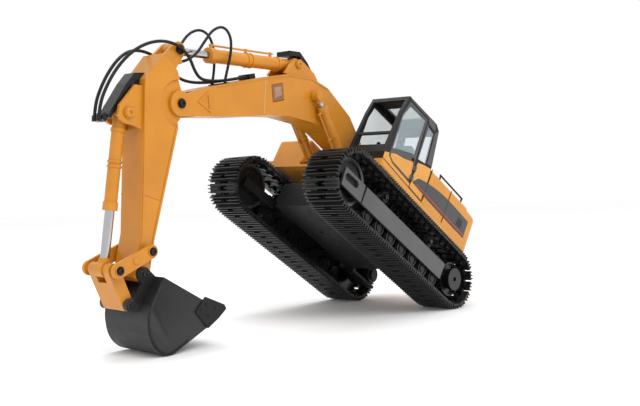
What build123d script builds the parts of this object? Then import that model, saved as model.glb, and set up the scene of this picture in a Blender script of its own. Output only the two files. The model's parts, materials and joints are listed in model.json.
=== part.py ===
from build123d import *
from math import acos, atan2, cos, degrees, hypot, pi, radians, sin, sqrt
import os

# A 1:16 class remote-control excavator in millimetres, stored with its nose up: the rear ends of
# the tracks and the bottom of the bucket stand on the floor, z = 0, and +X points to the bucket.
# Three frames are nested. The chassis frame has X forward, Y left, Z up and its origin on the
# track's ground plane under the swing axis. The house frame is the chassis frame turned by SWING
# about Z. The row frame is the chassis frame tilted by TILT and lifted so that it stands on z = 0.
# Boom, stick, bucket and linkage are drawn in the house frame's X-Z plane, where they rest.

TILT = 33.53
SWING = 3.2
GAP = 0.35

# Tracks and running gear, chassis frame
HALF_WIDTH = 80.0
SHOE_WIDTH = 37.8
TRACK_Y = HALF_WIDTH - SHOE_WIDTH / 2
HALF_BASE = 86.25
AXLE_Z = 28.4
CHAIN_R = 22.9
LINKS = 50
SHOE_INNER = 0.7
SHOE_THICK = 1.9
GROUSER_H = 2.9
KNUCKLE_R = 1.5
TRACK_PIN_R = 0.75
WHEEL_R = 20.6
ROLLER_R = 7.4
ROLLER_Z = 14.9
ROLLER_FIRST_X = 52.1
ROLLER_PITCH = 18.6
BELLY_PCD = 40.0
BELLY_HOLE_R = 1.6
ROLLERS = 7
CARRIER_X = (38.0, -40.3)
CARRIER_Z = 43.6
CARRIER_R = 5.4
AXLE_R = 1.6
RUNNING = 0.05
BEAM_Y = (55.6, 66.4)
BEAM_Z = (19.2, 37.0)
BEAM_X = (-64.0, 57.5)
PLATE_Y = (72.4, 74.8)
PLATE_Z = (18.2, 34.2)

# House, house frame
DECK_Z = (62.4, 69.3)
HOUSE_HALF = 69.0
HOUSE_FRONT = 65.0
HOUSE_REAR = -106.0
REAR_BULGE = 14.0
HOOD_FRONT = -8.6
HOOD_REAR = -84.0
HOOD_TOP_FRONT = 106.2
HOOD_TOP_REAR = 111.0
WALL = 2.0
CAB_Y = (27.0, 69.0)
WELL_HALF = 24.5

# Boom, stick and bucket, house frame X-Z
BOOM_HALF = 13.0
STICK_HALF = 10.0
STICK_WIDE_HALF = 12.0
FOOT_PIN = (30.0, 92.0)
TIP_PIN = (236.0, 2.5)
BOOM_CYL_FOOT = (48.0, 67.5)
BOOM_CYL_HEAD = (118.6, 100.6)
BOOM_CYL_Y = 18.2
STICK_CYL_BASE = (147.6, 113.0)
STICK_CYL_HEAD = (256.5, 38.0)
BUCKET_CYL_BASE = (269.0, -30.6)
ROD_END = (221.0, -131.0)
ROCKER_PIN = (203.6, -105.8)
BUCKET_PIN = (199.0, -122.0)
LINK_PIN = (197.3, -146.0)
BUCKET_HALF = 25.0

nodes = {}


# ---- small shape helpers -------------------------------------------------------------------

def prism(points, y_low, y_high):
    """Polygon in the X-Z plane, extruded from y_low to y_high."""
    outline = Plane.XZ.offset(-y_high) * make_face(Polyline(*points, close=True))
    return extrude(outline, amount=y_high - y_low)


def block(x_low, x_high, y_low, y_high, z_low, z_high):
    return Pos((x_low + x_high) / 2, (y_low + y_high) / 2, (z_low + z_high) / 2) * Box(
        x_high - x_low, y_high - y_low, z_high - z_low)


def bar(start, end, radius):
    """Round bar between two points in space."""
    start, end = Vector(*start), Vector(*end)
    return Solid.make_cylinder(radius, (end - start).length, Plane(origin=start, z_dir=end - start))


def pipe(start, end, outer, inner):
    return bar(start, end, outer) - bar(start, end, inner)


def pin(point, radius, y_low, y_high):
    """Round bar along Y through an X-Z point."""
    return bar((point[0], y_low, point[1]), (point[0], y_high, point[1]), radius)


def along(start, end, distance, y=0.0):
    """Point at a distance from start on the line to end, both X-Z points."""
    share = distance / hypot(end[0] - start[0], end[1] - start[1])
    return (start[0] + share * (end[0] - start[0]), y, start[1] + share * (end[1] - start[1]))


def reach(start, end):
    return hypot(end[0] - start[0], end[1] - start[1])


def tangent_quad(a, ra, b, rb):
    """Corners of the two outer tangents of circles about a and b."""
    base = atan2(b[1] - a[1], b[0] - a[0])
    lean = acos((ra - rb) / reach(a, b))
    return [(c[0] + r * cos(base + s * lean), c[1] + r * sin(base + s * lean))
            for c, r, s in ((a, ra, 1), (b, rb, 1), (b, rb, -1), (a, ra, -1))]


def strap(a, ra, b, rb, y_low, y_high):
    """Flat link with round ends of radii ra and rb."""
    return (prism(tangent_quad(a, ra, b, rb), y_low, y_high)
            + pin(a, ra, y_low, y_high) + pin(b, rb, y_low, y_high))


def both_sides(make):
    """The left solid and its mirror image across the X-Z plane."""
    left = make()
    return [left, mirror(left, about=Plane.XZ)]


def gear_face(root_r, tip_r, teeth, width_share=0.5):
    """Straight-sided toothed disc outline in the X-Z plane, about the origin."""
    points = []
    step = 2 * pi / teeth
    for k in range(teeth):
        for share, radius in ((-0.5, root_r), (-0.5 * width_share, tip_r), (0.5 * width_share, tip_r)):
            angle = (k + share) * step
            points.append((radius * cos(angle), radius * sin(angle)))
    return points


def solids_of(shape):
    """Every separate solid of a shape or a list of shapes."""
    if isinstance(shape, (list, tuple)):
        return [solid for item in shape for solid in solids_of(item)]
    return list(shape.solids())


# ---- tracks --------------------------------------------------------------------------------

PERIMETER = 4 * HALF_BASE + 2 * pi * CHAIN_R
PITCH = PERIMETER / LINKS


def chain_point(s):
    """Point on the chain line at a distance s from the middle of the bottom run, going forward."""
    quarter = HALF_BASE
    turn = pi * CHAIN_R
    s = (s + quarter) % PERIMETER - quarter
    if s < quarter:
        return (s, AXLE_Z - CHAIN_R)
    if s < quarter + turn:
        angle = (s - quarter) / CHAIN_R
        return (quarter + CHAIN_R * sin(angle), AXLE_Z - CHAIN_R * cos(angle))
    if s < 3 * quarter + turn:
        return (2 * quarter + turn - s, AXLE_Z + CHAIN_R)
    angle = (s - 3 * quarter - turn) / CHAIN_R
    return (-quarter - CHAIN_R * sin(angle), AXLE_Z + CHAIN_R * cos(angle))


def shoe():
    """One steel shoe lying along X from hinge to hinge, its outside facing -Z."""
    length = PITCH - 0.75
    top = -SHOE_INNER
    low = top - SHOE_THICK
    half = SHOE_WIDTH / 2
    body = block(-length / 2, length / 2, -half, half, low, top)
    for x in (-length * 0.36, 0.0, length * 0.36):
        ridge = Polyline((x - 0.75, low), (x + 0.75, low), (x + 0.4, low - GROUSER_H),
                         (x - 0.4, low - GROUSER_H), close=True)
        face = Plane.XZ.offset(-half) * make_face(ridge)
        body += extrude(face, amount=2 * half)
    body -= block(-2.2, 2.2, -4.0, 4.0, low - GROUSER_H - 1, top + 1)
    hinge = PITCH / 2
    for y_low, y_high in ((-13.0, -9.6), (9.6, 13.0)):
        lug = prism([(0, top - 0.1), (0, 0.9), (-hinge, KNUCKLE_R), (-hinge, -0.2),
                     (-hinge + 1.5, top - 0.1)], y_low, y_high)
        body += lug + pin((-hinge, 0), KNUCKLE_R, y_low, y_high)
    for y_low, y_high in ((-9.3, -6.0), (6.0, 9.3)):
        lug = prism([(0, top - 0.1), (0, 0.9), (hinge, KNUCKLE_R), (hinge, -0.2),
                     (hinge - 1.5, top - 0.1)], y_low, y_high)
        body += lug + pin((hinge, 0), KNUCKLE_R, y_low, y_high)
        body -= pin((hinge, 0), TRACK_PIN_R + RUNNING, y_low - 1, y_high + 1)
    for sign in (-1, 1):
        body += pin((-hinge, 0), TRACK_PIN_R, *sorted((sign * 5.2, sign * 9.7)))
    return body


def track(side):
    link = shoe()
    links = []
    for k in range(LINKS):
        x0, z0 = chain_point((k - 0.5) * PITCH)
        x1, z1 = chain_point((k + 0.5) * PITCH)
        pitch_angle = degrees(atan2(z1 - z0, x1 - x0))
        place = Pos((x0 + x1) / 2, side * TRACK_Y, (z0 + z1) / 2) * Rot(0, -pitch_angle, 0)
        links.append(place * link)
    return links


def roller_centres():
    return [ROLLER_FIRST_X - k * ROLLER_PITCH for k in range(ROLLERS)]


def double_wheel(radius, y_edges, shaft_r, rim=0.9):
    """Two flanged discs on one shaft along Y, about the origin; y_edges are the four disc faces."""
    y0, y1, y2, y3 = y_edges
    body = pin((0, 0), shaft_r, y0, y3)
    for low, high in ((y0, y1), (y2, y3)):
        body += pin((0, 0), radius - rim, low, high)
        body += pin((0, 0), radius, low + 1.0, high - 1.0)
    for low, high in ((y0, y0 + 0.8), (y3 - 0.8, y3)):
        body -= pin((0, 0), radius * 0.72, low, high) - pin((0, 0), radius * 0.42, low, high)
    return body


def bottom_roller():
    return double_wheel(ROLLER_R, (50.0, 54.6, 67.4, 72.0), AXLE_R)


def idler_wheel():
    wheel = pin((0, 0), WHEEL_R, 53.2, 58.6) + pin((0, 0), WHEEL_R, 63.6, 69.0)
    wheel += pin((0, 0), WHEEL_R - 3.0, 58.5, 63.7)
    for low, high in ((53.2, 54.4), (67.8, 69.0)):
        wheel -= pin((0, 0), WHEEL_R - 3.2, low, high) - pin((0, 0), 6.0, low, high)
    wheel -= pin((0, 0), AXLE_R + 0.4 + RUNNING, 53.0, 69.2)
    return wheel


def sprocket():
    """Drive wheel: dished disc, tooth ring in the middle of the chain, toothed cap outside."""
    teeth = prism(gear_face(WHEEL_R - 2.2, WHEEL_R + 0.3, 15, 0.42), 58.4, 63.8)
    wheel = teeth + pin((0, 0), WHEEL_R - 3.4, 57.6, 64.6)
    wheel += pin((0, 0), 16.2, 64.5, 71.5)
    wheel -= pin((0, 0), 14.9, 69.0, 71.6)
    wheel += pin((0, 0), 9.6, 68.9, 74.0)
    wheel += prism(gear_face(9.9, 11.0, 24, 0.5), 73.9, 77.2)
    wheel -= extrude(Plane.XZ.offset(-77.3) * RegularPolygon(2.4, 6), amount=3.3)
    for k in range(8):
        spot = Rot(0, 45.0 * k, 0) * Pos(12.6, 0, 0)
        wheel -= spot * pin((0, 0), 0.9, 68.2, 69.1)
    wheel -= pin((0, 0), 2.5 + RUNNING, 57.5, 66.0)
    return wheel


def track_frame(side):
    """Box beam with hangers for the rollers, posts for the return rollers and both end yokes."""
    y0, y1 = BEAM_Y
    z0, z1 = BEAM_Z
    beam = block(BEAM_X[0], BEAM_X[1], y0, y1, z0, z1)
    for x in roller_centres():
        if x < BEAM_X[0] + 4:
            beam += block(x - 4, BEAM_X[0] + 0.5, 58.0, 64.0, z0, z0 + 6)
        beam += prism([(x - 3.6, z0 + 0.5), (x - 2.6, ROLLER_Z - 2.4), (x + 2.6, ROLLER_Z - 2.4),
                       (x + 3.6, z0 + 0.5)], 58.0, 64.0)
        beam += pin((x, ROLLER_Z), 3.0, 58.0, 64.0)
        beam -= pin((x, ROLLER_Z), AXLE_R + RUNNING, 57.9, 64.1)
    for x in CARRIER_X:
        beam += block(x - 3.2, x + 3.2, 57.4, 64.6, z1 - 0.5, CARRIER_Z + 2.6)
    arm_x = BEAM_X[1] - 6.0
    for low, high in ((49.6, 52.2), (70.0, 72.2)):
        beam += block(arm_x, HALF_BASE + 9.0, low, high, 24.2, 33.0)
    beam += block(arm_x, BEAM_X[1] + 4.5, 49.6, 72.2, 24.2, 33.0)
    beam += pin((HALF_BASE, AXLE_Z), AXLE_R + 0.4, 52.0, 70.2)
    rear = -HALF_BASE
    beam += block(rear - 9.0, BEAM_X[0] + 6.0, 46.4, 49.4, 23.2, 37.0)
    beam += block(BEAM_X[0] - 0.5, BEAM_X[0] + 6.0, 46.4, 60.0, 23.2, 37.0)
    beam += pin((rear, AXLE_Z), 9.2, 46.4, 50.8)
    beam += pin((rear, AXLE_Z), 6.0, 50.7, 57.2)
    beam += pin((rear, AXLE_Z), 2.5, 57.1, 65.8)
    beam = beam if side > 0 else mirror(beam, about=Plane.XZ)
    return beam


def carrier_rollers():
    out = []
    for side in (1, -1):
        for x in CARRIER_X:
            roller = double_wheel(CARRIER_R, (53.0, 57.4, 64.6, 70.6), 0.9)
            roller += pin((0, 0), 2.2, 70.5, 72.6)
            roller = Pos(x, 0, CARRIER_Z) * roller
            halves = roller - block(x - 3.3, x + 3.3, 57.4, 64.6, 30, 60)
            halves = halves if side > 0 else mirror(halves, about=Plane.XZ)
            out += solids_of(halves)
    return out


def side_plates():
    """Bright plates on the outside of both track frames: short slotted one in front, long one behind."""
    low, high = PLATE_Y
    z0, z1 = PLATE_Z
    front = prism([(68.9, z0), (97.4, z0 + 0.4), (99.6, z1), (70.4, z1)], low, high)
    slot_ends = (81.6, 28.3), (93.4, 28.0)
    front -= strap(slot_ends[0], 3.3, slot_ends[1], 3.3, low - 1, high + 1)
    front += block(72.0, 76.6, 72.2, 72.5, 25.0, 32.0)
    long_plate = prism([(-66.6, z0), (67.0, z0), (67.6, z1), (-67.2, z1 + 0.4)], low, high)
    for x in (-50.0, -5.0, 40.0):
        spacer = block(x - 4, x + 4, BEAM_Y[1], low + 0.1, 24.5, 31.5)
        long_plate += spacer
    out = []
    for side in (1, -1):
        for plate in (front, long_plate):
            out.append(plate if side > 0 else mirror(plate, about=Plane.XZ))
    return out


def drive_motors():
    """Motor cans lying inside the chassis behind the belly, each with its gear head."""
    out = []
    for side in (1, -1):
        can = pin((-HALF_BASE, AXLE_Z), 8.2, 24.0, 46.2) + pin((-HALF_BASE, AXLE_Z), 5.0, 21.5, 24.1)
        can += block(-HALF_BASE - 8.2, -HALF_BASE + 8.2, 38.0, 46.2, AXLE_Z - 8.2, AXLE_Z + 8.2)
        out.append(can if side > 0 else mirror(can, about=Plane.XZ))
    return out


def belly_frame():
    """Centre body with an X of four arms to the track frames and the round swing seat on top."""
    body = block(-58.0, 62.0, -36.0, 36.0, 21.0, 46.0)
    body -= block(-55.5, 59.5, -33.5, 33.5, 23.5, 50.0)
    for sign_x, x in ((1, 38.0), (-1, -36.0)):
        for side in (1, -1):
            arm = prism([(x - 10, 23.0), (x + 10, 23.0), (x + 8, 36.0), (x - 8, 36.0)], 35.9, BEAM_Y[0])
            body += arm if side > 0 else mirror(arm, about=Plane.XZ)
    top = Pos(0, 0, 45.0) * extrude(Circle(38.0), amount=7.0)
    top -= Pos(0, 0, 44.0) * extrude(Circle(30.0), amount=9.0)
    cover = block(-58.0, 62.0, -36.0, 36.0, 43.5, 46.0) - Pos(0, 0, 40.0) * extrude(Circle(30.0), amount=9.0)
    body += top + cover
    for k in range(4):
        spot = Rot(0, 0, 45 + 90 * k) * Pos(BELLY_PCD / 2, 0, 20.0)
        body -= spot * extrude(Circle(BELLY_HOLE_R), amount=5.0)
    for side in (1, -1):
        cradle = block(-HALF_BASE - 10.0, -57.9, 26.0, 36.0, 17.4, 20.0)
        cradle += block(-61.0, -57.9, 26.0, 36.0, 17.4, 38.6)
        body += cradle if side > 0 else mirror(cradle, about=Plane.XZ)
    return body


def slew_ring():
    ring = Pos(0, 0, 52.0) * extrude(Circle(36.0) - Circle(30.5), amount=DECK_Z[0] - GAP - 52.0)
    return ring


# ---- house ---------------------------------------------------------------------------------

def house_outline(front, rear, half, bulge, corner):
    """Plan outline with a bowed rear edge and rounded rear corners."""
    rear_arc = ThreePointArc((rear, half), (rear - bulge, 0), (rear, -half))
    sides = Polyline((rear, -half), (front, -half), (front, half), (rear, half))
    face = make_face(rear_arc + sides)
    corners = face.vertices().sort_by(Axis.X)[:2]
    return fillet(corners, corner)


def turntable():
    """Deck of the house: floor, rim band all round, boom foot ears and cylinder foot ears."""
    outer = house_outline(HOUSE_FRONT, HOUSE_REAR, HOUSE_HALF, REAR_BULGE, 10.0)
    deck = Pos(0, 0, DECK_Z[0]) * extrude(outer, amount=DECK_Z[1] - DECK_Z[0])
    pocket = house_outline(HOUSE_FRONT - WALL, HOUSE_REAR + WALL, HOUSE_HALF - WALL, REAR_BULGE, 9.0)
    deck -= Pos(0, 0, DECK_Z[0] + 2.4) * extrude(pocket, amount=DECK_Z[1])
    ear_foot = DECK_Z[0] + 2.3
    ear = prism([(16.5, ear_foot), (38.0, ear_foot), (37.9, 91.0), (22.1, 91.0)],
                BOOM_HALF + GAP, BOOM_HALF + 3.4)
    ear += pin(FOOT_PIN, 8.0, BOOM_HALF + GAP, BOOM_HALF + 3.4)
    foot_low, foot_high = BOOM_CYL_Y + 5.0, BOOM_CYL_Y + 7.4
    foot = strap(BOOM_CYL_FOOT, 5.0, (48.0, 66.5), 5.0, foot_low, foot_high)
    foot -= block(0, 70, 0, 30, 40, DECK_Z[0] + 2.3)
    deck -= block(HOUSE_FRONT - WALL - 1, HOUSE_FRONT + 1, -26.0, 26.0, DECK_Z[0] + 2.4, DECK_Z[1] + 1)
    for side in (1, -1):
        slot = block(40.0, 58.5, *sorted((side * 14.2, side * 22.8)), DECK_Z[0] - 1, DECK_Z[0] + 3)
        deck -= slot
        for piece in (ear, foot):
            deck += piece if side > 0 else mirror(piece, about=Plane.XZ)
    deck -= pin(FOOT_PIN, 2.5 + RUNNING, -30, 30)
    deck -= pin(BOOM_CYL_FOOT, 1.8 + RUNNING, -30, 30)
    return deck


def hood_profile(x_front, x_rear, z_base, z_top):
    """Side profile of the engine hood: flat top that falls a little towards its front."""
    return [(x_front, z_base), (x_rear, z_base), (x_rear, z_top + 2.6), (x_front, z_top - 2.2)]


def house_shell():
    """Engine hood across the back, side box on the right, low boom-well walls; open underneath."""
    base = DECK_Z[0] + 2.4
    profile = hood_profile(HOOD_FRONT, HOOD_REAR, base, 108.4)
    hood = prism(profile, -HOUSE_HALF + WALL + 0.1, HOUSE_HALF - WALL - 0.1)
    skirt = prism([(HOOD_FRONT, DECK_Z[1]), (HOOD_REAR, DECK_Z[1]), (HOOD_REAR, 111.0), (HOOD_FRONT, 106.2)],
                  -HOUSE_HALF, HOUSE_HALF)
    hood += skirt
    hood = fillet(hood.edges().filter_by(lambda e: e.center().Z > 100 and abs(e.center().Y) > HOUSE_HALF - 1),
                  3.5)
    inner = prism([(HOOD_FRONT - WALL, base - 1), (HOOD_REAR + WALL, base - 1), (HOOD_REAR + WALL, 108.9),
                   (HOOD_FRONT - WALL, 104.2)], -HOUSE_HALF + 2 * WALL + 0.2, HOUSE_HALF - 2 * WALL - 0.2)
    hood -= inner
    side_box = block(HOOD_FRONT - 0.5, HOUSE_FRONT - 4, -HOUSE_HALF, -CAB_Y[0], DECK_Z[1], 97.0)
    side_box = fillet(side_box.edges().filter_by(lambda e: e.center().Z > 96 or e.center().X > 60), 3.0)
    side_box -= block(HOOD_FRONT - 1.5, HOUSE_FRONT - 4 - WALL, -HOUSE_HALF + WALL, -CAB_Y[0] - WALL,
                      base - 1, 97.0 - WALL)
    return hood + side_box


def counterweight():
    """Heavy rounded block that closes the back of the house."""
    outer = house_outline(HOOD_REAR, HOUSE_REAR - 1.0, HOUSE_HALF, REAR_BULGE, 12.0)
    weight = Pos(0, 0, DECK_Z[1]) * extrude(outer, amount=110.6 - DECK_Z[1])
    top = weight.edges().filter_by(lambda e: e.center().Z > 110 and e.center().X < HOOD_REAR - 1)
    weight = fillet(top, 6.0)
    weight -= block(-100.0, HOOD_REAR + 1, -45.0, 45.0, DECK_Z[1] - 1, 104.0)
    return weight


def cab_profile():
    """Cab side outline from the sill up the front, over the roof and down the back."""
    return [(64.6, DECK_Z[1]), (66.0, 76.0), (63.4, 122.0), (60.2, 141.0), (9.4, 146.6), (2.2, 143.0),
            (-5.6, 107.0), (-6.6, DECK_Z[1])]


DOOR_WINDOW = [(57.0, 85.5), (59.4, 120.0), (54.0, 134.6), (26.4, 138.4), (24.4, 100.6)]
RIGHT_WINDOW = [(57.0, 90.0), (58.6, 120.0), (55.4, 135.0), (8.4, 139.4), (1.6, 104.0)]
REAR_WINDOW = [(17.6, 100.4), (4.2, 104.0), (8.2, 135.8), (19.4, 136.4)]
DOOR_HINGE = (18.2, 70.3)
DOOR_KNUCKLES = (76.0, 86.0)
DOOR_OUTLINE = [(51.4, 73.6), (58.6, 76.0), (61.4, 120.4), (56.6, 138.0), (24.0, 141.0), (20.6, 98.0),
                (18.2, 73.6)]


def cab_frame():
    """Moulded cab: side walls with window holes, roof, rear wall, open front; no floor inside."""
    profile = cab_profile()
    shell = prism(profile, *CAB_Y)
    core = [(64.0, DECK_Z[1] - 1), (64.0, 76.0), (61.4, 121.6), (58.4, 139.0), (10.0, 144.2), (4.2, 141.6),
            (-3.4, 106.6), (-4.4, DECK_Z[1] - 1)]
    shell -= prism(core, CAB_Y[0] + WALL, CAB_Y[1] - WALL)
    shell -= prism(RIGHT_WINDOW, CAB_Y[0] - 1, CAB_Y[0] + WALL + 1)
    shell -= prism(DOOR_OUTLINE, CAB_Y[1] - WALL - 1, CAB_Y[1] + 1)
    shell -= prism(REAR_WINDOW, CAB_Y[1] - WALL - 1, CAB_Y[1] + 1)
    shell -= block(56.0, 70.0, CAB_Y[0] + 3.4, CAB_Y[1] - 3.4, 99.0, 136.4)
    shell -= block(56.0, 70.0, CAB_Y[0] + 3.4, CAB_Y[1] - 3.4, 84.0, 96.4)
    shell -= block(-8.0, 8.0, CAB_Y[0] + 5.0, CAB_Y[1] - 5.0, 108.6, 138.0)
    shell -= block(22.0, 48.0, CAB_Y[0] + 7.0, CAB_Y[1] - 7.0, 140.5, 150.0)
    return shell


def cab_glass():
    """Clear panes of the fixed cab: rear side, right side, rear and roof; the front stands open."""
    rear_side = prism([(17.3, 100.8), (4.6, 104.2), (8.5, 135.5), (19.1, 136.1)], CAB_Y[1] - 1.4, CAB_Y[1] - 0.4)
    right = prism([(56.8, 90.3), (58.3, 120.0), (55.2, 134.7), (8.7, 139.0), (2.0, 104.3)],
                  CAB_Y[0] + 0.4, CAB_Y[0] + 1.4)
    roof = Pos(35, 0, 142.6) * Rot(0, 6.2, 0) * block(-12.5, 12.5, CAB_Y[0] + 7.2, CAB_Y[1] - 7.2, -0.6, 0.4)
    return [rear_side, right, roof]


def cab_door():
    """Left door: one moulded panel with a window hole; it turns on two knuckles outside its rear edge."""
    inset = 0.3
    outline = [(51.2, 73.6 + inset), (58.2, 76.4), (61.0, 120.2), (56.3, 137.6), (24.3, 140.6), (21.0, 98.0),
               (18.6, 73.6 + inset)]
    door = prism(outline, CAB_Y[1] - 1.6, CAB_Y[1])
    door -= prism(DOOR_WINDOW, CAB_Y[1] - 3, CAB_Y[1] + 1)
    for z in DOOR_KNUCKLES:
        hinge_x, hinge_y = DOOR_HINGE
        door += bar((hinge_x, hinge_y, z), (hinge_x, hinge_y, z + 5.0), 1.1)
        door += block(hinge_x, 21.4, CAB_Y[1] + 0.3, hinge_y + 0.1, z, z + 5.0)
        door += block(20.0, 21.4, CAB_Y[1] - 0.5, hinge_y + 0.1, z, z + 5.0)
    return door


def door_glass():
    return prism([(56.7, 86.0), (59.0, 119.9), (53.7, 134.2), (26.7, 138.0), (24.8, 101.0)],
                 CAB_Y[1] - 1.2, CAB_Y[1] - 0.5)


def seat():
    """Operator seat with arch-shaped back, arm consoles and two levers."""
    base = block(14.0, 36.0, 40.0, 57.0, DECK_Z[0] + 2.4, 84.0)
    cushion = fillet(block(13.0, 37.0, 39.5, 57.5, 83.9, 89.5).edges(), 1.8)
    back = prism([(12.6, 84.5), (18.4, 84.5), (15.2, 118.0), (10.6, 118.0)], 41.0, 56.0)
    back = fillet(back.edges().filter_by(lambda e: e.center().Z > 110 and abs(e.center().Y - 48.5) > 7), 4.0)
    body = base + cushion + back
    for y_low, y_high in ((34.6, 38.6), (58.4, 62.4)):
        console = block(18.0, 42.0, y_low, y_high, DECK_Z[0] + 2.4, 92.5)
        mid = (y_low + y_high) / 2
        lever = bar((39.0, mid, 92.0), (40.5, mid, 102.0), 0.9) + Pos(40.7, mid, 103.0) * Sphere(1.9)
        body += console + lever
    body += block(20.0, 30.0, 38.0, 59.0, 70.0, 80.0)
    return body


def battery_pack():
    base = DECK_Z[0] + 2.4
    return fillet(block(-74.0, -32.0, 8.0, 44.0, base, base + 21.0).edges(), 2.0)


def control_board():
    base = DECK_Z[0] + 2.4
    board = block(-74.0, -22.0, -52.0, -6.0, base + 4.0, base + 5.6)
    for x in (-70.0, -26.0):
        for y in (-48.0, -10.0):
            board += bar((x, y, base), (x, y, base + 4.1), 2.0)
    board += block(-60.0, -50.0, -40.0, -28.0, base + 5.5, base + 8.0)
    board += block(-44.0, -34.0, -24.0, -14.0, base + 5.5, base + 9.0)
    board += bar((-38.0, -42.0, base + 5.5), (-38.0, -42.0, base + 14.0), 3.2)
    return board


def swing_motor():
    base = DECK_Z[0] + 2.4
    return bar((2.0, -2.0, base), (2.0, -2.0, base + 24.0), 8.4) + bar((2.0, -2.0, base + 23.9),
                                                                     (2.0, -2.0, base + 26.5), 3.0)


def hood_top(x):
    """Height of the hood's top, which rises a little towards the rear."""
    return HOOD_TOP_FRONT + (HOOD_TOP_REAR - HOOD_TOP_FRONT) * (HOOD_FRONT - x) / (HOOD_FRONT - HOOD_REAR)


def hood_fittings():
    """Exhaust stub, grab rail and louvre block on top of the hood."""
    rail_y = 64.4
    front, rear = (-30.0, rail_y, hood_top(-30.0)), (-76.0, rail_y, hood_top(-76.0))
    rail = bar((front[0], rail_y, front[2] + 0.3), (front[0], rail_y, front[2] + 6.2), 0.9)
    rail += bar((rear[0], rail_y, rear[2] + 0.3), (rear[0], rail_y, rear[2] + 6.2), 0.9)
    rail += bar((front[0] + 1, rail_y, front[2] + 6.0), (rear[0] - 1, rail_y, rear[2] + 6.0), 0.9)
    stack_z = hood_top(-60.0) + 0.5
    stack = bar((-60.0, -42.0, stack_z), (-60.0, -42.0, stack_z + 6.5), 3.4)
    stack -= bar((-60.0, -42.0, stack_z + 1.5), (-60.0, -42.0, stack_z + 8.0), 2.4)
    louvre = prism([(-66.0, hood_top(-66.0) + 0.1), (-40.0, hood_top(-40.0) + 0.1), (-40.0, hood_top(-40.0) + 2.2),
                    (-66.0, hood_top(-66.0) + 2.2)], -24.0, 24.0)
    return [rail, stack, louvre]


# ---- boom ----------------------------------------------------------------------------------

BOOM_TOP = [(30.0, 103.0), (66.0, 117.0), (106.0, 119.4), (128.0, 113.4), (153.3, 98.1), (180.8, 71.5),
            (220.0, 31.0), (235.8, 12.0)]
BOOM_BOTTOM = [(231.0, -5.6), (181.5, 31.1), (155.9, 51.7), (134.5, 66.9), (105.0, 81.2), (84.0, 86.0),
               (56.0, 87.0), (30.0, 81.0)]
CLEVIS_R = 18.4


def boom():
    """Two moulded halves that meet on the centre plane, with cylinder ears and a clevis at the tip."""
    outline = make_face(Polyline(*(BOOM_TOP + BOOM_BOTTOM), close=True))
    cavity = offset(outline, amount=-2.2)
    left = extrude(Plane.XZ.offset(-BOOM_HALF) * outline, amount=BOOM_HALF)
    left -= extrude(Plane.XZ.offset(2.2 - BOOM_HALF) * cavity, amount=BOOM_HALF)
    left += pin(FOOT_PIN, 11.0, 0, BOOM_HALF) + pin(TIP_PIN, 9.6, 0, BOOM_HALF)
    left -= pin(TIP_PIN, CLEVIS_R, -1, STICK_HALF + GAP)
    ear = prism([(157.4, 96.0), (154.6, 112.0), (147.6, 119.0), (126.4, 120.0), (116.0, 116.0), (134.0, 104.0)],
                8.5, 11.0)
    left += ear - prism([(120.0, 108.0), (156.0, 90.0), (140.0, 70.0), (110.0, 100.0)], 8.0, 12.0)
    left += pin(BOOM_CYL_HEAD, 5.2, 9.0, 14.2)
    rib = prism([(224.0, 13.5), (219.4, 27.5), (208.0, 14.4)], BOOM_HALF - 0.1, BOOM_HALF + 0.7)
    left += rib - prism([(222.0, 15.0), (218.8, 24.6), (211.2, 15.6)], BOOM_HALF, BOOM_HALF + 1)
    left -= pin(FOOT_PIN, 2.5 + 0.02, -1, 20) + pin(TIP_PIN, 2.4 + 0.02, -1, 20)
    left -= pin(STICK_CYL_BASE, 2.2 + 0.02, -1, 20)
    window = prism([(166.5, 75.5), (157.0, 64.0), (147.0, 74.2), (156.5, 85.6)], BOOM_HALF - 1.4, BOOM_HALF + 1)
    left -= window
    return [left, mirror(left, about=Plane.XZ)]


def boom_pins():
    """Foot, tip and cylinder base pins of the boom."""
    return [pin(FOOT_PIN, 2.5, -17.6, 17.6), pin(TIP_PIN, 2.4, -14.0, 14.0),
            pin(STICK_CYL_BASE, 2.2, -11.8, 11.8)]


def work_light():
    """Square lamps let into both cheeks of the boom."""
    lamp = prism([(165.9, 75.4), (157.0, 64.6), (147.6, 74.3), (156.6, 85.0)], BOOM_HALF - 1.35, BOOM_HALF + 0.5)
    lamp = chamfer(lamp.faces().sort_by(Axis.Y)[-1].edges(), 0.45)
    return [lamp, mirror(lamp, about=Plane.XZ)]


def hose_manifold():
    """Black hose cover behind the stick cylinder's base and two hose clamps on the boom's top."""
    cover = prism([(123.7, 116.1), (138.9, 106.9), (139.6, 121.5), (147.0, 123.0), (158.0, 115.2),
                   (160.4, 118.6), (149.0, 126.6), (136.0, 125.0), (126.0, 121.6)], -7.6, 7.6)
    on_top = Rot(0, 45.97, 0)
    saddle = Pos(205.0, 0, 46.5) * on_top * block(-2.8, 2.8, -9.2, 9.2, 0.05, 0.75)
    for points in (LOOP_FAR, LOOP_NEAR):
        saddle += nipple(points[-1], points[-2], 1.6, 2.4)
    block_end = Pos(181.9, 0, 70.36) * on_top * block(-3.5, 3.5, -6.4, 6.4, 0.05, 4.0)
    return [cover, saddle, block_end]


# ---- cylinders -----------------------------------------------------------------------------

def barrel(start, end, length, outer, bore, eye_r, eye_half, y=0.0, closed=9.0):
    """Cylinder barrel from its base eye towards end, with collars, a gland and a side pipe."""
    base = (start[0], y, start[1])
    gland = along(start, end, length, y)
    body = bar(base, gland, outer)
    for place, wide in ((0.16, 2.6), (0.50, 1.6), (0.55, 1.6), (0.93, 6.0)):
        low = along(start, end, length * place, y)
        high = along(start, end, length * place + wide, y)
        body += bar(low, high, outer + 0.7)
    body += pin(start, eye_r, y - eye_half, y + eye_half)
    body -= bar(along(start, end, closed, y), along(start, end, length + 5, y), bore)
    return body


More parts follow.
